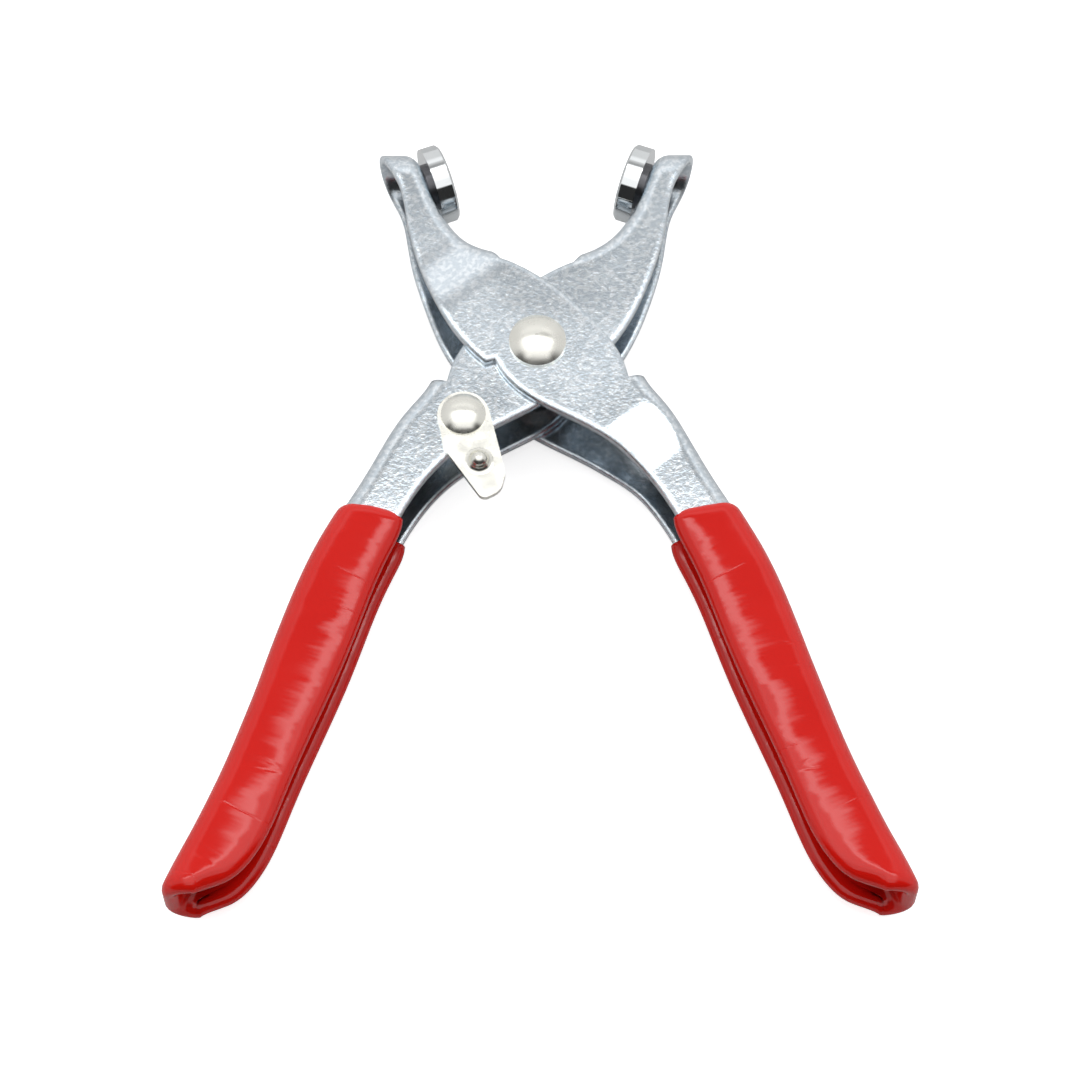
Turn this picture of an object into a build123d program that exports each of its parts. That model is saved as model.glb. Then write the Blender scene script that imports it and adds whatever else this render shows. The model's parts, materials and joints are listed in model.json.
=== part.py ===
from build123d import *
from math import acos, atan2, copysign, cos, degrees, radians, sin
import os

# Press-fastener pliers: two pressed sheet-steel channel levers that cross on one rivet.
# The pliers lie flat on z = 0 with the jaws to +Y and the handles to -Y, and the origin is under
# the middle of their length and width. Every piece is drawn about the pivot, with the rivet's axis
# on Z and z = 0 midway between the flanges, and is moved up to PIVOT at the end.
# The outer lever runs from the left jaw to the right handle. The inner lever is the mirrored
# pressing, nested between the outer flanges. All sizes are in millimetres.

# Sheet and channels
SHEET = 1.5
HALF_NARROW = 7.0
LEVER_GAP = 0.15
HALF_WIDE = HALF_NARROW + LEVER_GAP + SHEET
BEND = 3.0
EDGE_ROLL = 0.5
RUN_GAP = 0.05
TOUCH = 0.02

# Die seat on the outer lever's jaw: a point on the web's outer face and the tilt of its normal
SEAT = Vector(-21.1, 37.6)
SEAT_TILT = 20.0
SEAT_ABOVE = 6.6
SEAT_BELOW = 5.0
NOSE_AXIS_Y = 36.8

# Set of the wide, raised middle of the outer lever, measured along its own length
SET_DIRECTION = Vector(-0.62, 0.78).normalized()
JAW_SET = (15.5, 28.0)
HANDLE_SET = (-21.4, -33.0)

# Die holder: a chromed disc on a spacer, held to the web by a tubular rivet whose bore is the die socket
DISC_R = 7.5
DISC_T = 3.5
DISC_CHAMFER = 0.45
SPACER_R = 4.6
SPACER_T = 0.9
SOCKET_R = 2.0
TUBE_R = 2.8
TUBE_HEAD_R = 4.0
TUBE_HEAD_T = 1.2
BACK_WASHER_R = 3.9
BACK_WASHER_T = 0.6
TAIL_R = 3.5
TAIL_T = 0.9
TAIL_ROUND = 0.35

# Main pivot
SHANK_R = 3.0
HEAD_R = 5.25
HEAD_RIM = 0.6
HEAD_DOME = 1.9
PEEN_R = 4.4
PEEN_RIM = 0.3
PEEN_DOME = 1.2
PIVOT_WASHER_R = 5.6
PIVOT_WASHER_T = 0.5
BUSH_R = 4.2
PIVOT_BACK = HALF_WIDE + PIVOT_WASHER_T + 2 * TOUCH
PIVOT = Vector(0, 30.0, PIVOT_BACK + PEEN_RIM + PEEN_DOME)

# Opening spring
WIRE_R = 0.7
COIL_R = 5.5
COIL_PITCH = 1.46
FULL_TURNS = 4
LEG_END = Vector(29.3, -26.1)

# Latch
LATCH_PIVOT = Vector(-13.6, -14.8)
LATCH_T = 1.1
LATCH_LIFT = 0.08
LATCH_EYE_R = 4.75
LATCH_SHANK_R = 2.0
LATCH_HEAD_R = 4.1
LATCH_RIM = 0.35
LATCH_DOME = 1.5
LATCH_TAIL_R = 3.0
LATCH_TAIL_T = 0.8
LATCH_WASHER_R = 3.6
LATCH_WASHER_T = 0.4
LATCH_EDGE = [(-18.2, -15.8), (-17.1, -21.6), (-10.1, -31.9), (-6.7, -30.2), (-5.9, -26.6),
              (-7.4, -20.0), (-9.0, -13.4)]
LATCH_TIP_R = 1.4
LATCH_SIDE_R = 3.2
STUD_PLACE = Vector(-10.7, -24.3)
STUD_R = 1.65
STUD_DOME = 1.5
STUD_SKIRT_R = 2.8
STUD_SKIRT_H = 0.8
STUD_SKIRT_RIM = 0.08
STUD_SHANK_R = 1.1

# Grips: dipped vinyl, thicker outside the channel than inside it
GRIP_OUT = 1.1
GRIP_IN = 0.8
GRIP_BEND = 3.9

# Lever outline. The web's outer face: a straight seat beside the jaw, then one long curve to the tail
JAW_UP = Vector(-sin(radians(SEAT_TILT)), cos(radians(SEAT_TILT)))
SEAT_TOP = SEAT + SEAT_ABOVE * JAW_UP
SEAT_FOOT = SEAT - SEAT_BELOW * JAW_UP
WEB_LINE = [SEAT_FOOT, (-17.2, 28.2), (-13.6, 23.6), (-8.8, 20.7), (2.8, 17.6), (12.8, 9.8),
            (18.0, -2.4), (20.9, -8.2), (24.1, -12.3), (31.3, -25.0), (38.7, -38.1),
            (45.6, -55.6), (51.7, -74.4), (58.4, -91.1), (64.8, -104.4)]
TAIL_RUN = (0.44, -0.9)
# Open side of the channel, from the tail of the handle to the nose of the jaw, with a small step
OPEN_HANDLE = [(58.0, -105.0), (51.6, -100.4), (45.1, -86.6), (35.0, -61.1), (24.8, -34.2),
               (16.2, -22.4), (5.1, -15.0), (-3.4, -9.7), (-7.9, -3.5)]
OPEN_JAW = [(-9.6, -4.1), (-16.6, 4.5), (-21.3, 15.2), (-24.3, 26.5), (-26.0, 35.0),
            (-28.2, 39.4), (-30.2, SEAT_TOP.Y)]
# Where the web is cut away round the pivot: the flanges' edge, and a corner beyond the web at each end
CUT_EDGE = [(-7.0, 18.0), (1.2, 13.3), (8.6, 6.4), (14.1, -0.4), (16.7, -7.3)]
CUT_CORNERS = [(24.0, -5.0), (24.0, 24.0), (-11.0, 24.0)]
# Line across the handle where the grip starts
GRIP_START = [(36.6, -31.6), (22.4, -34.6)]
# A length beyond the whole tool, the points on an offset curve, and how near a line an edge counts as on it
FAR = 60.0
OFFSET_STEPS = 40
ON_LINE = 0.01


def upright(face, half):
    """The plan face made into a block from -half to +half."""
    return extrude(Pos(0, 0, -half) * face, amount=2 * half)


def beside(curve, distance):
    """A smooth curve that keeps a distance to the right of another, seen along it."""
    points = []
    for step in range(OFFSET_STEPS + 1):
        along = curve % (step / OFFSET_STEPS)
        points.append(curve @ (step / OFFSET_STEPS) + distance * Vector(along.Y, -along.X))
    return Spline(*points, tangents=[curve % 0, curve % 1], tangent_scalars=[1, 1])


def web_curve(inset=0.0):
    """The web's face in plan, from the jaw's nose to the handle's tail, inset from the outer face."""
    seat = Line(SEAT_TOP, SEAT_FOOT)
    curve = Spline(*WEB_LINE, tangents=[seat % 1, TAIL_RUN], tangent_scalars=[1, 1])
    if inset == 0:
        return [seat, curve]
    curve = beside(curve, inset)
    rise = SEAT_TOP.Y - inset - (curve @ 0).Y
    top = curve @ 0 + (seat % 0) * (rise / (seat % 0).Y)
    return [Line(top, curve @ 0), curve]


def lever_outline():
    """Plan outline of one lever's sheet, as if the web ran on past the pivot."""
    tail = Line(WEB_LINE[-1], OPEN_HANDLE[0])
    step = Line(OPEN_HANDLE[-1], OPEN_JAW[0])
    nose = Line(OPEN_JAW[-1], SEAT_TOP)
    return make_face(web_curve() + [tail, Spline(*OPEN_HANDLE), step, Spline(*OPEN_JAW), nose])


def cut_out():
    """Plan area round the pivot where the web is cut away."""
    return make_face([Spline(*CUT_EDGE), Polyline(CUT_EDGE[-1], *CUT_CORNERS, CUT_EDGE[0])])


def open_outline(inset):
    """Outline behind the inset web line that runs on far past the open side and the tail."""
    seat, curve = web_curve(inset)
    past_tail = curve @ 1 + (curve % 1) * FAR
    nose = Vector(-2 * FAR, (seat @ 0).Y)
    return make_face([seat, curve, Polyline(curve @ 1, past_tail, (-2 * FAR, -3 * FAR), nose, seat @ 0)])


def nose_prism(radius):
    """Everything below the nose's axis, and a round end of the given radius beyond it."""
    body = Pos(NOSE_AXIS_Y - 2 * FAR, 0) * Rectangle(4 * FAR, FAR)
    return extrude(Plane.YZ * (body + Pos(NOSE_AXIS_Y, 0) * Circle(radius)), amount=2 * FAR, both=True)


def set_prism(half_wide, half_narrow):
    """Thickness over the flanges along the outer lever: wide at the pivot, narrow at both ends."""
    handle_start, handle_end = HANDLE_SET
    jaw_start, jaw_end = JAW_SET
    flat = {"tangents": [(1.0, 0.0), (1.0, 0.0)]}
    top = [Line((-3 * FAR, half_narrow), (handle_end, half_narrow)),
           Spline((handle_end, half_narrow), (handle_start, half_wide), **flat),
           Line((handle_start, half_wide), (jaw_start, half_wide)),
           Spline((jaw_start, half_wide), (jaw_end, half_narrow), **flat),
           Line((jaw_end, half_narrow), (3 * FAR, half_narrow))]
    close = Polyline((3 * FAR, half_narrow), (3 * FAR, 0), (-3 * FAR, 0), (-3 * FAR, half_narrow))
    half = make_face(top + [close])
    across = SET_DIRECTION.cross(Vector(0, 0, 1))
    plane = Plane(origin=(0, 0, 0), x_dir=SET_DIRECTION, z_dir=across)
    return extrude(plane * (half + mirror(half, about=Plane.XZ)), amount=3 * FAR, both=True)


def is_upright(edge):
    """Whether an edge runs straight up the Z direction."""
    run = edge @ 1 - edge @ 0
    return Vector(run.X, run.Y).length < ON_LINE and abs(run.Z) > ON_LINE


def plan_gap(edge, lines):
    """Distance in plan from the middle of an edge to the nearest of the lines."""
    middle = edge @ 0.5
    return min(line.distance_to(Vertex(middle.X, middle.Y, 0)) for line in lines)


def round_web(solid, inset, radius):
    """Rounds the edges that run along the inset web line."""
    lines = web_curve(inset)
    edges = []
    for edge in solid.edges():
        if not is_upright(edge) and plan_gap(edge, lines) < ON_LINE:
            edges.append(edge)
    return fillet(edges, radius)


def channel_block(face, depth, radius, wide):
    """A solid block with the plan face, its surfaces depth inside the sheet's outer ones."""
    narrow_half = HALF_NARROW - depth
    wide_half = HALF_WIDE - depth
    block = upright(face, wide_half if wide else narrow_half)
    if wide:
        block &= set_prism(wide_half, narrow_half)
    block &= nose_prism(narrow_half)
    return round_web(block, depth, radius)


def roll_edges(shell, thickness):
    """Rounds the flanges' outer edges along the open side and round the pivot cut-out."""
    rims = [Spline(*OPEN_HANDLE), Line(OPEN_HANDLE[-1], OPEN_JAW[0]), Spline(*OPEN_JAW), Spline(*CUT_EDGE)]
    edges = []
    for edge in shell.edges():
        middle = edge @ 0.5
        outwards = Vector(0, 0, copysign(SHEET / 2, middle.Z))
        on_outer_face = not thickness.is_inside(middle + outwards)
        if on_outer_face and not is_upright(edge) and plan_gap(edge, rims) < ON_LINE:
            edges.append(edge)
    return fillet(edges, EDGE_ROLL)


def across_jaw(shape):
    """Places a shape built on Z at the die seat, with Z pointing to the other jaw."""
    tilt = radians(SEAT_TILT)
    seat = Plane(origin=SEAT, x_dir=(0, 0, 1), z_dir=(cos(tilt), sin(tilt), 0))
    return seat * shape


def ring(outer, inner, low, high):
    """A flat ring on the Z axis between two heights, or a plain disc if inner is zero."""
    face = Circle(outer) - Circle(inner) if inner else Circle(outer)
    return extrude(Pos(0, 0, low) * face, amount=high - low)


def dome(radius, rim, height, base):
    """A round head on the Z axis: a short straight rim under a shallow dome."""
    top = base + rim + height
    sphere_r = (radius ** 2 + height ** 2) / (2 * height)
    side = Polyline((0, top), (0, base), (radius, base), (radius, base + rim))
    arc = RadiusArc((radius, base + rim), (0, top), -sphere_r)
    return revolve(Plane.XZ * make_face([side, arc]), Axis.Z)


def flared_stud():
    """A finger stud on the Z axis: a small dome that flares out into a thin skirt at its foot."""
    top = STUD_SKIRT_H + STUD_DOME
    neck = (STUD_R, STUD_SKIRT_H)
    rim = (STUD_SKIRT_R, STUD_SKIRT_RIM)
    foot = Polyline((0, top), (0, 0), (STUD_SKIRT_R, 0), rim)
    flare = RadiusArc(rim, neck, STUD_SKIRT_R - STUD_R)
    dome_r = (STUD_R ** 2 + STUD_DOME ** 2) / (2 * STUD_DOME)
    crown = RadiusArc(neck, (0, top), -dome_r)
    return revolve(Plane.XZ * make_face([foot, flare, crown]), Axis.Z)


def lever(wide):
    """One pressed channel lever, with its pivot holes and the hole for the die rivet."""
    shell = channel_block(lever_outline(), 0, BEND, wide)
    shell -= channel_block(open_outline(SHEET), SHEET, BEND - SHEET, wide)
    shell -= upright(cut_out(), FAR)
    everywhere = upright(Rectangle(8 * FAR, 8 * FAR), HALF_NARROW)
    shell = roll_edges(shell, set_prism(HALF_WIDE, HALF_NARROW) if wide else everywhere)
    shell -= Pos(0, 0, -FAR) * extrude(Circle(SHANK_R + RUN_GAP), amount=2 * FAR)
    shell -= across_jaw(Pos(0, 0, -2 * SHEET) * extrude(Circle(TUBE_R + TOUCH), amount=3 * SHEET))
    return shell


def grip(steel):
    """The dipped vinyl round one handle, inside the channel as well as outside."""
    lip = beside(Spline(*OPEN_HANDLE), -GRIP_OUT)
    tail_run = Vector(*WEB_LINE[-1]) - Vector(*OPEN_HANDLE[0])
    tail = lip @ 0 + tail_run.normalized() * FAR
    start_run = Vector(*GRIP_START[0]) - Vector(*GRIP_START[1])
    foot = Vector(*GRIP_START[1]) - start_run
    top = Vector(*GRIP_START[0]) + start_run
    lip_side = make_face([lip, Polyline(lip @ 1, top, (2 * FAR, -FAR), tail, lip @ 0)])
    below = make_face(Polyline(foot, top, (3 * FAR, top.Y), (3 * FAR, -3 * FAR), (-FAR, -3 * FAR), foot))
    skin = upright(open_outline(-GRIP_OUT), HALF_NARROW + GRIP_OUT)
    skin = round_web(skin, -GRIP_OUT, GRIP_BEND) & upright(lip_side & below, FAR)
    inner = SHEET + GRIP_IN
    skin -= round_web(upright(open_outline(inner), HALF_NARROW - inner), inner, GRIP_IN)
    return skin - steel


def die_parts():
    """The four pieces at one jaw: disc, spacer, tubular rivet and backing washer."""
    face = SPACER_T + DISC_T
    disc = Pos(0, 0, SPACER_T) * extrude(Circle(DISC_R), amount=DISC_T)
    disc = chamfer(disc.edges().group_by(Axis.Z)[-1], DISC_CHAMFER)
    disc -= ring(TUBE_R + TOUCH, 0, SPACER_T, face)
    back = -SHEET - BACK_WASHER_T
    tail = back - TAIL_T
    flare = [(TUBE_R, face - TUBE_HEAD_T), (TUBE_HEAD_R, face)]
    rivet = revolve(Plane.XZ * make_face(Polyline(
        (SOCKET_R, tail), (TAIL_R - TAIL_ROUND, tail), (TAIL_R, tail + TAIL_ROUND), (TAIL_R, back - TOUCH),
        (TUBE_R, back - TOUCH), *flare, (SOCKET_R, face), (SOCKET_R, tail))), Axis.Z)
    slack = [(TUBE_R + TOUCH, face - TUBE_HEAD_T - TOUCH), (TUBE_HEAD_R + 2 * TOUCH, face + TOUCH)]
    disc -= revolve(Plane.XZ * make_face(Polyline(
        (0, face - TUBE_HEAD_T - TOUCH), *slack, (0, face + TOUCH), (0, face - TUBE_HEAD_T - TOUCH))), Axis.Z)
    return {
        "die_holder": disc,
        "die_spacer": ring(SPACER_R, TUBE_R + TOUCH, 0, SPACER_T),
        "die_rivet": rivet,
        "die_washer": ring(BACK_WASHER_R, TUBE_R + TOUCH, back, -SHEET),
    }


def pivot_parts():
    """The main rivet with its back washer, and the bush that keeps the inner flanges apart."""
    front = HALF_WIDE + TOUCH
    shank = Pos(0, 0, -PIVOT_BACK) * extrude(Circle(SHANK_R), amount=front + PIVOT_BACK)
    peened = Rot(180, 0, 0) * dome(PEEN_R, PEEN_RIM, PEEN_DOME, PIVOT_BACK)
    inside = HALF_NARROW - SHEET - TOUCH
    return {
        "pivot_rivet": shank + dome(HEAD_R, HEAD_RIM, HEAD_DOME, front) + peened,
        "pivot_washer": ring(PIVOT_WASHER_R, SHANK_R + RUN_GAP, -front - PIVOT_WASHER_T, -front),
        "pivot_bush": ring(BUSH_R, SHANK_R + RUN_GAP, -inside, inside),
    }


def opening_spring():
    """Torsion spring round the bush, each leg pushing out against the web of one handle."""
    reach = LEG_END.length
    to_leg = degrees(atan2(LEG_END.Y, LEG_END.X))
    leave = to_leg + degrees(acos(COIL_R / reach))
    turns = FULL_TURNS + (180 - 2 * leave) / 360
    height = turns * COIL_PITCH
    start = Vector(-COIL_R * cos(radians(leave)), COIL_R * sin(radians(leave)), -height / 2)
    coil = Pos(0, 0, -height / 2) * Rot(0, 0, 180 - leave) * Helix(COIL_PITCH, height, COIL_R, lefthand=True)
    section = Plane(origin=coil @ 0, z_dir=coil % 0) * Circle(WIRE_R)
    wire = sweep(section, path=coil, is_frenet=True)
    for side, level in ((-1, -height / 2), (1, height / 2)):
        root = Vector(side * -start.X, start.Y, level)
        tip = Vector(side * LEG_END.X, LEG_END.Y, level)
        leg = Plane(origin=root, z_dir=tip - root) * Circle(WIRE_R)
        wire += extrude(leg, amount=(tip - root).length)
        wire += Pos(root) * Sphere(WIRE_R)
    return wire


def latch_parts():
    """The swinging latch on the inner lever's front flange, with its rivet, washer and finger stud."""
    low = HALF_NARROW + LATCH_LIFT
    top = low + LATCH_T
    inside = HALF_NARROW - SHEET
    here = Pos(LATCH_PIVOT.X, LATCH_PIVOT.Y)
    blank = make_face(Polyline(*LATCH_EDGE, LATCH_EDGE[0]))
    blank = fillet(blank.vertices().sort_by(Axis.Y)[1:5], LATCH_SIDE_R)
    blank = fillet(blank.vertices().sort_by(Axis.Y)[0], LATCH_TIP_R) + here * Circle(LATCH_EYE_R)
    stud_at = Pos(STUD_PLACE.X, STUD_PLACE.Y)
    plate = extrude(Pos(0, 0, low) * blank, amount=LATCH_T)
    plate -= here * ring(LATCH_SHANK_R + RUN_GAP, 0, 0, 2 * top)
    plate -= stud_at * ring(STUD_SHANK_R + TOUCH, 0, 0, 2 * top)
    washer_low = inside - LATCH_WASHER_T - TOUCH
    tail_low = washer_low - LATCH_TAIL_T
    rivet = ring(LATCH_SHANK_R, 0, tail_low, top + TOUCH)
    rivet += dome(LATCH_HEAD_R, LATCH_RIM, LATCH_DOME, top + TOUCH)
    rivet += ring(LATCH_TAIL_R, 0, tail_low, washer_low - TOUCH)
    stud = ring(STUD_SHANK_R, 0, low, top) + Pos(0, 0, top) * flared_stud()
    return {
        "latch_plate": plate,
        "latch_rivet": here * rivet,
        "latch_washer": here * ring(LATCH_WASHER_R, LATCH_SHANK_R + RUN_GAP, washer_low, inside - TOUCH),
        "latch_stud": stud_at * stud,
    }


outer_lever = lever(True)
inner_lever = lever(False)
left_grip = grip(inner_lever)
right_grip = grip(outer_lever)
latch_hole = ring(LATCH_SHANK_R + RUN_GAP, 0, 0, 2 * HALF_NARROW)

nodes = {
    "outer_lever": outer_lever,
    "outer_grip": right_grip,
    "inner_lever": mirror(inner_lever, about=Plane.YZ) - Pos(LATCH_PIVOT.X, LATCH_PIVOT.Y) * latch_hole,
    "inner_grip": mirror(left_grip, about=Plane.YZ),
    "opening_spring": opening_spring(),
}
nodes |= pivot_parts()
nodes |= latch_parts()
for name, piece in die_parts().items():
    at_jaw = across_jaw(piece)
    nodes["outer_" + name] = at_jaw
    nodes["inner_" + name] = mirror(at_jaw, about=Plane.YZ)

os.makedirs("parts", exist_ok=True)
for name, shape in nodes.items():
    export_step(Pos(PIVOT) * shape, f"parts/{name}.step")
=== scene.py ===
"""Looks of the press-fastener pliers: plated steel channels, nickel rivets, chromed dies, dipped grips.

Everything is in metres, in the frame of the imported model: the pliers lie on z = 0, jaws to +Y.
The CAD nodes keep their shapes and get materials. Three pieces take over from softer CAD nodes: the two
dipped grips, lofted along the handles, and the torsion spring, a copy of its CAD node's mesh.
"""

import json
import math

import bmesh
import bpy
import numpy as np
from mathutils import Matrix, Vector, noise
from mathutils.bvhtree import BVHTree


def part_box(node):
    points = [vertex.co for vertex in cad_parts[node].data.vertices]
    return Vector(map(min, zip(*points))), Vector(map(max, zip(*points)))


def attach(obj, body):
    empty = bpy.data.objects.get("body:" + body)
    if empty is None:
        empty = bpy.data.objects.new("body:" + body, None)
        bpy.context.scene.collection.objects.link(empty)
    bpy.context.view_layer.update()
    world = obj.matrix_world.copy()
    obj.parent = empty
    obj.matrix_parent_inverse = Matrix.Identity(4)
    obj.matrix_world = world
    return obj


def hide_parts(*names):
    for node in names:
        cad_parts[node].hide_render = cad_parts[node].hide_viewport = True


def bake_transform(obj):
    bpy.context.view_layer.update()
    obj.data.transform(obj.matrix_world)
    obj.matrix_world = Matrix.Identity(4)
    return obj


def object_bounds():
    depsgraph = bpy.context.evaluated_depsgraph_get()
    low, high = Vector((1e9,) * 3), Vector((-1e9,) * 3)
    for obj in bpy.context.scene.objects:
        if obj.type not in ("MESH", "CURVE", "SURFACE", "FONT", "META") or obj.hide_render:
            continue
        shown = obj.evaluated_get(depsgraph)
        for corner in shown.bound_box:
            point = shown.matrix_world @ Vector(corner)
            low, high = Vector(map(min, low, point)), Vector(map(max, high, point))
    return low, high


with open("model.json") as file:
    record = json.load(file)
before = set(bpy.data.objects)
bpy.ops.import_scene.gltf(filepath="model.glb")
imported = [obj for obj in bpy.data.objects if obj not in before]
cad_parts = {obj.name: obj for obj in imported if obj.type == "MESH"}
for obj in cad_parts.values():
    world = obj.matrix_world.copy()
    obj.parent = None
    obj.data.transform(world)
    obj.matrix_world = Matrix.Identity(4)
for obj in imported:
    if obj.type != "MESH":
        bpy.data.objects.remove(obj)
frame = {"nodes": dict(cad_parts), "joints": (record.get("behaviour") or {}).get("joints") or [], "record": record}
cad_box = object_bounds()

MM = 0.001
NODES = frame["nodes"]
JOINTS = {joint["name"]: joint for joint in frame["joints"]}
PIVOT = Vector(JOINTS["squeeze"]["pos_m"])


# ---------------------------------------------------------------- node helpers

class Shader:
    """A material or world node tree with short calls for the nodes used here."""

    def __init__(self, tree):
        self.tree = tree
        tree.nodes.clear()

    def add(self, kind, **settings):
        node = self.tree.nodes.new("ShaderNode" + kind)
        for key, value in settings.items():
            setattr(node, key, value)
        return node

    def feed(self, node, **inputs):
        """Sets inputs by name, with _ for a space, to a value or to another node's output socket."""
        for key, value in inputs.items():
            socket = node.inputs[int(key[1:])] if key[1:].isdigit() else node.inputs[key.replace("_", " ")]
            if isinstance(value, bpy.types.NodeSocket):
                self.tree.links.new(value, socket)
            else:
                socket.default_value = value
        return node

    def math(self, operation, a, b=0.0, clamp=False):
        node = self.add("Math", operation=operation, use_clamp=clamp)
        return self.feed(node, _0=a, _1=b).outputs[0]

    def noise(self, vector, size, detail=3.0, roughness=0.5, distortion=0.0):
        """Noise whose main features are about size metres across."""
        node = self.add("TexNoise")
        self.feed(node, Vector=vector, Scale=0.5 / size, Detail=detail, Roughness=roughness,
                  Distortion=distortion)
        return node.outputs[0]

    def spread(self, value, low, high, to_low=0.0, to_high=1.0, smooth=True):
        """Maps low..high to to_low..to_high."""
        node = self.add("MapRange", interpolation_type="SMOOTHSTEP" if smooth else "LINEAR")
        return self.feed(node, _0=value, _1=low, _2=high, _3=to_low, _4=to_high).outputs[0]

    def mix(self, factor, a, b):
        node = self.add("Mix", data_type="RGBA")
        self.feed(node, _0=factor, _6=a, _7=b)
        return node.outputs[2]

    def bump(self, height, depth, normal=None):
        """Bumps depth metres deep."""
        node = self.add("Bump")
        self.feed(node, Height=height, Distance=depth, Strength=1.0)
        if normal is not None:
            self.feed(node, Normal=normal)
        return node.outputs[0]

    def vector(self, x, y, z=0.0):
        return self.feed(self.add("CombineXYZ"), _0=x, _1=y, _2=z).outputs[0]

    def stretched(self, vector, scale):
        node = self.add("Mapping")
        return self.feed(node, Vector=vector, Scale=scale).outputs[0]


def rgb(red, green, blue):
    return (red, green, blue, 1.0)


def new_material(name):
    """A material with a Principled shader; returns the material, its node helper, shader and position."""
    material = bpy.data.materials.new(name)
    material.use_nodes = True
    shader = Shader(material.node_tree)
    out = shader.add("OutputMaterial")
    surface = shader.add("BsdfPrincipled")
    shader.feed(out, Surface=surface.outputs[0])
    place = shader.add("TexCoord").outputs["Object"]
    return material, shader, surface, place


# ------------------------------------------------------------------- materials

def painted_shade_inside(shader, colour, shade, distance, low, high):
    """Paints shade into a colour: mixes it towards a dark shade where the surface is enclosed within that
    distance, in place of real shadow in hollows.
    """
    cavity = shader.add("AmbientOcclusion", samples=6, only_local=True)
    shader.feed(cavity, Distance=distance)
    open_air = shader.spread(cavity.outputs["AO"], low, high)
    return shader.mix(open_air, shade, colour)


def plated_steel():
    """Zinc-plated pressing: bluish, with a grain that glitters in the light, soft bends and painted shade inside
    its channels.
    """
    material, shader, surface, place = new_material("plated_steel")
    mottle = shader.spread(shader.noise(place, 0.45 * MM, detail=2.0), 0.40, 0.66)
    colour = shader.mix(mottle, rgb(0.69, 0.76, 0.82), rgb(0.88, 0.93, 0.97))
    # painted shade: the colour goes nearly black inside the channels, standing in for their shadow
    colour = painted_shade_inside(shader, colour, rgb(0.030, 0.031, 0.034), 9 * MM, 0.42, 0.88)
    polish = shader.spread(shader.noise(place, 10 * MM, detail=2.0), 0.3, 0.7, 0.15, 0.22)
    rounded = shader.feed(shader.add("Bevel", samples=6), Radius=1.4 * MM).outputs[0]
    dents = shader.bump(shader.noise(place, 12 * MM, detail=1.0), 0.03 * MM, rounded)
    grain = shader.noise(place, 0.30 * MM, detail=2.0, roughness=0.6)
    normal = shader.bump(grain, 0.024 * MM, dents)
    shader.feed(surface, Base_Color=colour, Metallic=1.0, Roughness=polish, Normal=normal)
    return material


def nickel():
    """Nickel-plated rivets and latch: satin, slightly warm."""
    material, shader, surface, place = new_material("nickel")
    mottle = shader.noise(place, 1.5 * MM, detail=3.0)
    colour = shader.mix(mottle, rgb(0.86, 0.85, 0.78), rgb(0.94, 0.93, 0.87))
    normal = shader.bump(shader.noise(place, 1.2 * MM, detail=3.0), 0.012 * MM)
    polish = shader.spread(mottle, 0.3, 0.7, 0.22, 0.32)
    shader.feed(surface, Base_Color=colour, Metallic=1.0, Roughness=polish, Normal=normal)
    return material


def chrome():
    """Polished die holders."""
    material, shader, surface, place = new_material("chrome")
    haze = shader.noise(place, 2.0 * MM, detail=4.0)
    colour = shader.mix(haze, rgb(0.76, 0.79, 0.80), rgb(0.84, 0.86, 0.87))
    normal = shader.bump(shader.noise(place, 0.8 * MM, detail=2.0), 0.003 * MM)
    polish = shader.spread(haze, 0.3, 0.7, 0.03, 0.09)
    shader.feed(surface, Base_Color=colour, Metallic=1.0, Roughness=polish, Normal=normal)
    return material


def drawn_steel(name, dark, light, roughness):
    """Plain drawn or turned steel for the spring, the bush and the spacers."""
    material, shader, surface, place = new_material(name)
    streak = shader.noise(shader.stretched(place, (1.0, 1.0, 6.0)), 1.5 * MM, detail=4.0)
    colour = shader.mix(streak, dark, light)
    normal = shader.bump(streak, 0.01 * MM)
    shader.feed(surface, Base_Color=colour, Metallic=1.0, Roughness=roughness, Normal=normal)
    return material


def vinyl():
    """Glossy dipped vinyl: fine waves and wider ripples across the grip, and a few short creases."""
    material, shader, surface, place = new_material("grip_vinyl")
    along = shader.add("Attribute", attribute_name="grip_along").outputs["Fac"]
    across = shader.add("Attribute", attribute_name="grip_across").outputs["Fac"]

    def over_grip(width):
        """Position on the grip, with its whole width squeezed into the given one."""
        return shader.vector(along, shader.math("MULTIPLY", across, width))

    tint = shader.noise(place, 8 * MM, detail=2.0)
    colour = shader.mix(tint, rgb(0.72, 0.008, 0.004), rgb(0.82, 0.013, 0.007))
    # painted shade: the red goes dark maroon inside the grip's channel, standing in for its shadow
    colour = painted_shade_inside(shader, colour, rgb(0.12, 0.001, 0.002), 8 * MM, 0.48, 0.92)
    normal = shader.bump(shader.noise(over_grip(3 * MM), 1.6 * MM, detail=2.0), 0.050 * MM)
    normal = shader.bump(shader.noise(over_grip(5 * MM), 3.4 * MM, detail=1.0), 0.16 * MM, normal)
    fold = shader.noise(over_grip(2 * MM), 5 * MM, detail=1.0)
    line = shader.spread(shader.math("ABSOLUTE", shader.math("SUBTRACT", fold, 0.5)), 0.0, 0.012)
    uncreased = shader.spread(shader.noise(place, 9 * MM, detail=0.0), 0.52, 0.60, 1.0, 0.0)
    normal = shader.bump(shader.math("MAXIMUM", line, uncreased), 0.02 * MM, normal)
    normal = shader.bump(shader.noise(place, 6 * MM, detail=1.0), 0.12 * MM, normal)
    polish = shader.spread(tint, 0.3, 0.7, 0.06, 0.11)
    shader.feed(surface, Base_Color=colour, Roughness=polish, Normal=normal, IOR=1.48)
    return material


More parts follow.
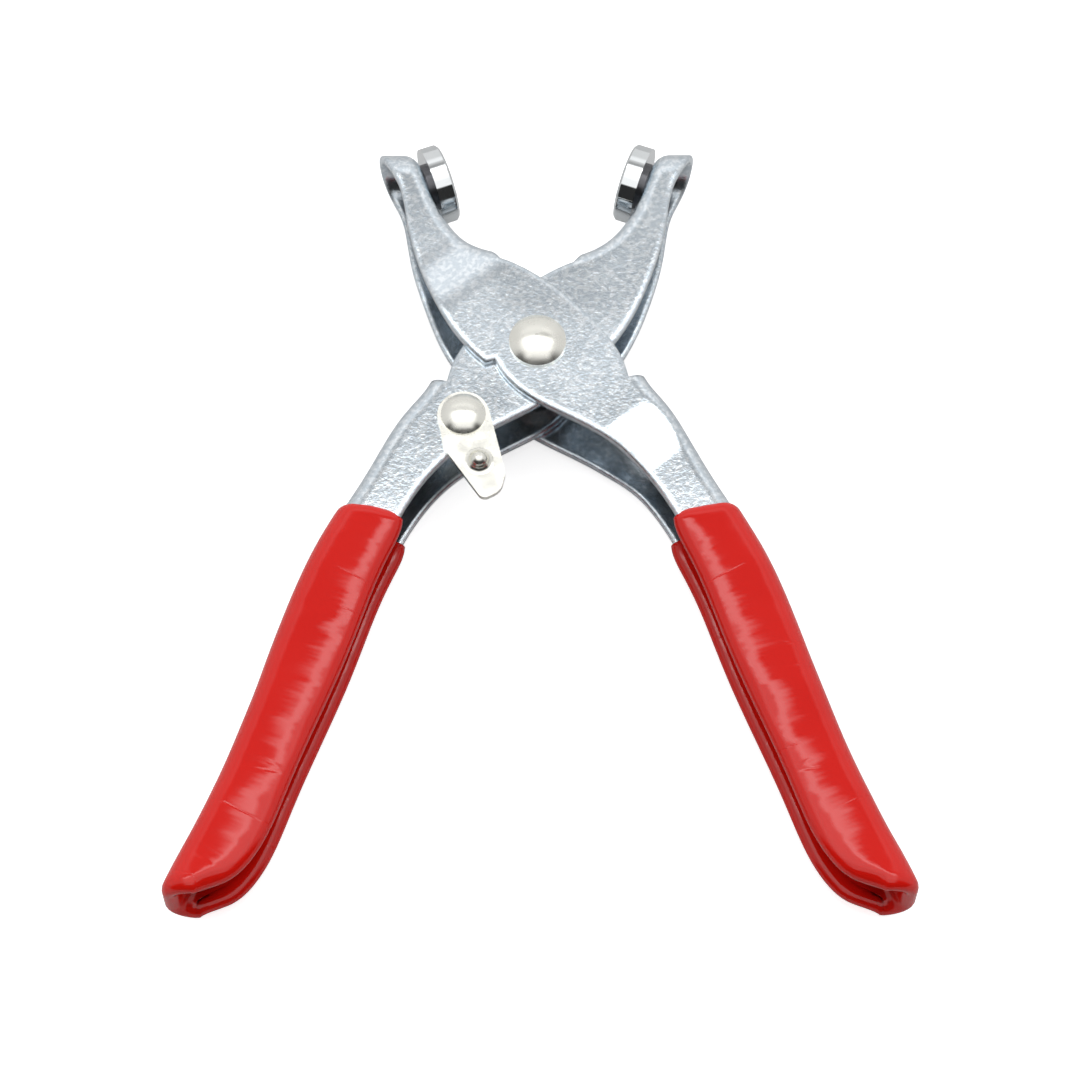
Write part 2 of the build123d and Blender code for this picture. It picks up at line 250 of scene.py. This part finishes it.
MATERIALS = {
    "plated_steel": plated_steel(),
    "nickel": nickel(),
    "chrome": chrome(),
    "grip_vinyl": vinyl(),
    "spring_wire": drawn_steel("spring_wire", rgb(0.10, 0.10, 0.10), rgb(0.24, 0.23, 0.22), 0.32),
    "bush_steel": drawn_steel("bush_steel", rgb(0.09, 0.09, 0.10), rgb(0.20, 0.20, 0.21), 0.35),
}


def dress(piece, slot_name):
    piece.data.materials.clear()
    piece.data.materials.append(MATERIALS[slot_name])


for part in frame["record"]["subparts"]:
    dress(NODES[part["node"]], part["material_slot"])


# ----------------------------------------------------------------------- grips

# The wall: half its thickness, the rounded lip's reach, the web's outer corner and its growth at the tail.
HALF_WALL = 1.7 * MM
LIP = 2.4 * MM
CORNER = 4.5 * MM
TAIL_CORNER = 0.9 * MM
TAIL_FADE = 9 * MM

# The face between corner and lip: it tilts up from the corner, is level at APEX and falls to the lip.
FACE_TILT = math.radians(9)
APEX = 0.72
LIP_FALL = 0.5 * MM
FULL_FLAT = 12 * MM

# The dip line at the start: its slant, how far it is drawn up the handle, and its raggedness.
START_SLANT = math.tan(math.radians(17))
START_REACH = 1.2 * MM
SLANT_FADE = 16 * MM
RAGGED = 0.25 * MM
RAGGED_SIZE = 4 * MM

# The tail: how far the sheet runs on, and the gap kept inside the CAD grip's end.
TAIL_REACH = 1.2 * MM
MARGIN = 0.20 * MM
SURE_WIDTH = 6.5 * MM
LEAST_WIDTH = 7.5 * MM

# Slow swells of the outer skin.
SWELL = 0.10 * MM
SWELL_SIZE = 9 * MM

# Mesh density and smoothing, in steps.
STEP = 0.5 * MM
HALF_COUNT = 44
RIM_STEPS = 9
ROUNDING = 12
SMOOTHING = 8
LOOK = 3
INSET = 4
OUTSIDE = 200 * MM


def tree_of(node):
    mesh = NODES[node].data
    return BVHTree.FromPolygons([v.co for v in mesh.vertices], [p.vertices for p in mesh.polygons])


def smoothed(values):
    """A running mean over SMOOTHING steps either way, carried on straight beyond the ends."""
    before = 2 * values[0] - np.array(values[SMOOTHING:0:-1])
    after = 2 * values[-1] - np.array(values[-2:-SMOOTHING - 2:-1])
    padded = np.concatenate([before, values, after])
    return np.convolve(padded, np.ones(2 * SMOOTHING + 1) / (2 * SMOOTHING + 1), mode="valid")


def web_plan(tree, low, high, side):
    """The skin over the handle's web in plan, every STEP from start to tail."""
    skin = []
    for y in np.arange(high.y - 0.2 * MM, low.y, -STEP):
        hit, normal, _, _ = tree.ray_cast(Vector((side * OUTSIDE, y, PIVOT.z)), Vector((-side, 0, 0)))
        if hit and normal.x * side > 0.5:
            skin.append(hit)
    run = np.concatenate([[0], np.cumsum([(b - a).length for a, b in zip(skin, skin[1:])])])
    places = np.arange(0, run[-1], STEP)
    x_run = smoothed(np.interp(places, run, [point.x for point in skin]))
    y_run = smoothed(np.interp(places, run, [point.y for point in skin]))
    return [Vector((x, y, 0)) for x, y in zip(x_run, y_run)]


def grip_path(node):
    """The plan line of a grip's web, the flange's width at each of its points, and the grip's side."""
    tree = tree_of(node)
    low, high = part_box(node)
    side = 1 if low.x + high.x > 0 else -1
    plan = web_plan(tree, low, high, side)
    widths = []
    for index, point in enumerate(plan):
        ahead = plan[min(index + LOOK, len(plan) - 1)] - plan[max(index - LOOK, 0)]
        inwards = Vector((ahead.y, -ahead.x, 0)).normalized() * side
        origin = point + inwards * OUTSIDE + Vector((0, 0, high.z - HALF_WALL))
        hit = tree.ray_cast(origin, -inwards)[0]
        widths.append((hit.xy - point.xy).length if hit else 0.0)
    sure = max(index for index, width in enumerate(widths) if width > SURE_WIDTH)
    slope = (widths[sure] - widths[sure - SMOOTHING]) / SMOOTHING
    widths = widths[:sure] + [widths[sure] + slope * extra for extra in range(len(widths) - sure)]
    return plan, np.maximum(smoothed(widths), LEAST_WIDTH), side


def plan_point(plan, position):
    """A point on the plan line at a fractional index, carried on straight beyond its ends."""
    index = int(min(max(math.floor(position), 0), len(plan) - 2))
    return plan[index] + (plan[index + 1] - plan[index]) * (position - index)


def sheet_point(plan, position, inwards, side):
    """A point in plan, inwards from the web's skin at a fractional index along it."""
    here = plan_point(plan, position)
    ahead = plan_point(plan, position + LOOK) - plan_point(plan, position - LOOK)
    return here + Vector((ahead.y, -ahead.x, 0)).normalized() * side * inwards


class Section:
    """The C-shaped mid-line of the wall: half the web, a bend, and the face up to its lip."""

    def __init__(self, width, half_height, bend):
        self.bend = bend
        self.half_height = half_height
        self.turn = math.pi / 2 - FACE_TILT
        self.reach = bend * (1 - math.cos(self.turn))
        self.flat = width - LIP - HALF_WALL - self.reach
        self.rise = math.tan(FACE_TILT) * APEX * self.flat / 2
        self.straight = half_height - self.rise - bend * math.sin(self.turn)
        self.length = self.straight + bend * self.turn + self.flat

    def point(self, run):
        """The point at a distance run from the web's middle, as (inwards, up)."""
        if run <= self.straight:
            return HALF_WALL, run
        angle = (run - self.straight) / self.bend
        if angle <= self.turn:
            return HALF_WALL + self.bend * (1 - math.cos(angle)), self.straight + self.bend * math.sin(angle)
        along = run - self.straight - self.bend * self.turn
        share = along / self.flat
        if share < APEX:
            fall = self.rise * (1 - share / APEX) ** 2
        else:
            fall = LIP_FALL * ((share - APEX) / (1 - APEX)) ** 2 * min(self.flat / FULL_FLAT, 1.0)
        return HALF_WALL + self.reach + along, self.half_height - fall


def grip_sheet(node):
    """The mid-surface of the wall as a grid, its (along, across) places, and the grip's side."""
    plan, widths, side = grip_path(node)
    low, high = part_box(node)
    middle_z = (low.z + high.z) / 2
    half_height = (high.z - low.z) / 2 - HALF_WALL
    first = round(LIP / STEP)
    last = len(widths) - 1 - first + round(TAIL_REACH / STEP)
    rows, places = [], []
    for index in range(first, last + 1):
        start = max(0.0, 1 - index * STEP / SLANT_FADE)
        tail = max(0.0, 1 - (last - index) * STEP / TAIL_FADE)
        section = Section(widths[index], half_height, CORNER - HALF_WALL + TAIL_CORNER * tail ** 3)
        row, place = [], []
        for count in range(-HALF_COUNT, HALF_COUNT + 1):
            inwards, up = section.point(abs(count) / HALF_COUNT * section.length)
            position = index - inwards * START_SLANT * start ** 2 * (3 - 2 * start) / STEP
            position -= START_REACH / STEP * start
            ripple = noise.noise(Vector((inwards / RAGGED_SIZE, side, math.copysign(1, count))))
            position += RAGGED / STEP * ripple * start
            beyond = low.y + LIP + MARGIN - sheet_point(plan, last, inwards, side).y
            position -= max(beyond, 0.0) / STEP * tail ** 2
            point = sheet_point(plan, position, inwards, side)
            row.append((point.x, point.y, middle_z + math.copysign(up, count)))
            place.append((position * STEP, inwards / widths[index]))
        rows.append(row)
        places.append(place)
    return np.array(rows), np.array(places), side


def unit(vectors):
    return vectors / np.maximum(np.linalg.norm(vectors, axis=-1, keepdims=True), 1e-12)


def border(stations, across):
    """Grid indices round the sheet's border, in order."""
    loop = [(j, across - 1) for j in range(stations)]
    loop += [(stations - 1, i) for i in range(across - 2, -1, -1)]
    loop += [(j, 0) for j in range(stations - 2, -1, -1)]
    loop += [(0, i) for i in range(1, across - 1)]
    return loop


def rim_directions(sheet, loop, edge, edge_normals):
    """Directions out of the sheet along its border, turned gradually round its corners."""
    stations, across = sheet.shape[:2]
    along_edge = unit(np.roll(edge, -1, axis=0) - np.roll(edge, 1, axis=0))
    outwards = unit(np.cross(along_edge, edge_normals))
    inside = np.array([sheet[min(max(j, INSET), stations - 1 - INSET), min(max(i, INSET), across - 1 - INSET)]
                       for j, i in loop])
    outwards *= np.sign(np.sum(outwards * (edge - inside), axis=1, keepdims=True))
    for _ in range(ROUNDING):
        outwards = outwards + np.roll(outwards, 1, axis=0) + np.roll(outwards, -1, axis=0)
        outwards = unit(outwards - edge_normals * np.sum(outwards * edge_normals, axis=1, keepdims=True))
    return outwards


def grip_mesh(name, node):
    """A closed wall round the sheet: outer skin, inner skin and a half-round rim between them."""
    sheet, places, side = grip_sheet(node)
    stations, across = sheet.shape[:2]
    normals = unit(np.cross(np.gradient(sheet, axis=1), np.gradient(sheet, axis=0)))
    if (normals[:, HALF_COUNT, 0] * side).mean() < 0:
        normals = -normals
    loop = border(stations, across)
    edge = np.array([sheet[j, i] for j, i in loop])
    edge_normals = np.array([normals[j, i] for j, i in loop])
    outwards = rim_directions(sheet, loop, edge, edge_normals)

    swells = np.array([[noise.noise(Vector(p) / SWELL_SIZE) for p in row] for row in sheet])[..., None]
    outer = sheet + normals * (HALF_WALL + SWELL * (swells - 0.5))
    inner = sheet - normals * HALF_WALL
    verts = list(outer.reshape(-1, 3)) + list(inner.reshape(-1, 3))
    vert_places = list(places.reshape(-1, 2)) * 2
    shift = stations * across
    faces = []
    for j in range(stations - 1):
        for i in range(across - 1):
            a, b = j * across + i, (j + 1) * across + i
            faces.append((a, a + 1, b + 1, b))
            faces.append((shift + a, shift + b, shift + b + 1, shift + a + 1))
    rings = [[j * across + i for j, i in loop]]
    for step in range(1, RIM_STEPS):
        angle = math.pi * step / RIM_STEPS
        rings.append(list(range(len(verts), len(verts) + len(loop))))
        verts += list(edge + edge_normals * HALF_WALL * math.cos(angle) + outwards * LIP * math.sin(angle))
        vert_places += [places[j, i] for j, i in loop]
    rings.append([shift + j * across + i for j, i in loop])
    for upper, lower in zip(rings, rings[1:]):
        for k in range(len(loop)):
            n = (k + 1) % len(loop)
            faces.append((upper[k], upper[n], lower[n], lower[k]))

    mesh = bpy.data.meshes.new(name)
    mesh.from_pydata([tuple(v) for v in verts], [], faces)
    cleaner = bmesh.new()
    cleaner.from_mesh(mesh)
    bmesh.ops.recalc_face_normals(cleaner, faces=cleaner.faces)
    cleaner.to_mesh(mesh)
    cleaner.free()
    for index, attribute in enumerate(("grip_along", "grip_across")):
        layer = mesh.attributes.new(attribute, "FLOAT", "POINT")
        layer.data.foreach_set("value", np.array(vert_places, dtype=np.float32)[:, index].copy())
    mesh.shade_smooth()
    return mesh


def grip_piece(name, node, body):
    """The dipped vinyl of one handle, in place of the CAD grip."""
    piece = bpy.data.objects.new(name, grip_mesh(name, node))
    bpy.context.scene.collection.objects.link(piece)
    dress(piece, "grip_vinyl")
    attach(piece, body)
    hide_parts(node)


grip_piece("outer_grip_skin", "outer_grip", "outer_side")
grip_piece("inner_grip_skin", "inner_grip", "inner_side")


# ---------------------------------------------------------------------- spring


def spring_piece():
    """The torsion spring's wire, copied from the CAD spring, its coil winding between the two handles."""
    piece = bpy.data.objects.new("spring_coil", NODES["opening_spring"].data.copy())
    bpy.context.scene.collection.objects.link(piece)
    dress(piece, "spring_wire")
    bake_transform(piece)
    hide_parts("opening_spring")


spring_piece()


# ----------------------------------------------------------------------- stage

LAMP = 1.1
LAMP_STRIP = 2.2
TABLE = 0.80
BRIGHT_WALL = 1.10
DIM_WALL = 0.36
SIDE_WALLS = 0.72
DARK_ROOM = 0.03
BACKDROP = 1.05


def studio_world():
    """Studio surroundings by direction: a big lamp overhead with a brighter strip along its far edge, a
    wall behind the table, grey sides and a dark room behind the camera. The camera sees plain white.
    """
    world = bpy.data.worlds.new("studio")
    bpy.context.scene.world = world
    world.use_nodes = True
    shader = Shader(world.node_tree)
    out = shader.add("OutputWorld")
    split = shader.add("SeparateXYZ")
    shader.feed(split, Vector=shader.add("TexCoord").outputs["Generated"])
    x, y, z = split.outputs
    height = shader.math("MAXIMUM", z, 0.02)
    across = shader.math("ABSOLUTE", shader.math("DIVIDE", x, height))
    along = shader.math("DIVIDE", y, height)
    far_edge = shader.spread(along, 0.35, 0.48, 1.0, 0.0)
    near_edge = shader.spread(along, -0.75, -0.65)
    side_edge = shader.spread(across, 0.5, 1.0, 1.0, 0.0)
    lamp = shader.math("MULTIPLY", shader.math("MULTIPLY", far_edge, near_edge), side_edge)
    strip = shader.math("MULTIPLY", far_edge, shader.spread(along, 0.22, 0.30))
    strip = shader.math("MULTIPLY", strip, side_edge)
    elevation = shader.math("ARCTAN2", z, y)
    low_wall = shader.spread(elevation, math.radians(30), math.radians(42), TABLE, BRIGHT_WALL)
    wall = shader.spread(elevation, math.radians(46), math.radians(57), low_wall, DIM_WALL)
    sides = shader.spread(shader.math("ABSOLUTE", x), 0.35, 0.75, wall, SIDE_WALLS)
    room = shader.spread(y, -0.08, -0.30, sides, DARK_ROOM)
    light = shader.math("ADD", shader.math("MULTIPLY", lamp, LAMP), room)
    light = shader.math("ADD", shader.math("MULTIPLY", strip, LAMP_STRIP), light)
    seen = shader.feed(shader.add("Background"), Color=rgb(1, 1, 1), Strength=BACKDROP)
    lit = shader.feed(shader.add("Background"), Color=rgb(1, 1, 1), Strength=light)
    choice = shader.add("MixShader")
    shader.feed(choice, _0=shader.add("LightPath").outputs["Is Camera Ray"], _1=lit.outputs[0],
                _2=seen.outputs[0])
    shader.feed(out, Surface=choice.outputs[0])


def floor():
    """A plain white table top, which glows a little to the camera and is duller in reflections."""
    mesh = bpy.data.meshes.new("floor")
    reach = 3.0
    mesh.from_pydata([(-reach, -reach, 0), (reach, -reach, 0), (reach, reach, 0), (-reach, reach, 0)], [],
                     [(0, 1, 2, 3)])
    plane = bpy.data.objects.new("floor", mesh)
    bpy.context.scene.collection.objects.link(plane)
    plane.location.z = cad_box[0].z - 0.05 * MM
    material, shader, surface, place = new_material("table_top")
    shade = shader.mix(shader.noise(place, 40 * MM), rgb(0.90, 0.90, 0.90), rgb(0.92, 0.92, 0.92))
    seen = shader.add("LightPath").outputs["Is Camera Ray"]
    shade = shader.mix(seen, rgb(0.66, 0.66, 0.66), shade)
    shader.feed(surface, Base_Color=shade, Roughness=0.8, Emission_Color=rgb(1, 1, 1))
    shader.feed(surface, Emission_Strength=shader.math("MULTIPLY", seen, 0.70))
    mesh.materials.append(material)


def camera():
    """Looks down on the pliers from the handles' side."""
    elevation = math.radians(65)
    turn = math.radians(-0.75)
    roll = math.radians(0.5)
    distance = 650 * MM
    target = PIVOT + Vector((0.30, -36.25, 0)) * MM
    back = Vector((0, -math.cos(elevation), math.sin(elevation)))
    back = Matrix.Rotation(turn, 3, "Z") @ back
    lens = bpy.data.cameras.new("camera")
    lens.sensor_width = 36
    lens.lens = 119.2
    lens.clip_start = 0.01
    lens.clip_end = 10
    view = bpy.data.objects.new("camera", lens)
    bpy.context.scene.collection.objects.link(view)
    view.location = target + back * distance
    aim = back.to_track_quat("Z", "Y").to_matrix()
    view.rotation_euler = (aim @ Matrix.Rotation(roll, 3, "Z")).to_euler()
    bpy.context.scene.camera = view


studio_world()
floor()
camera()
bpy.context.scene.view_settings.view_transform = "Standard"
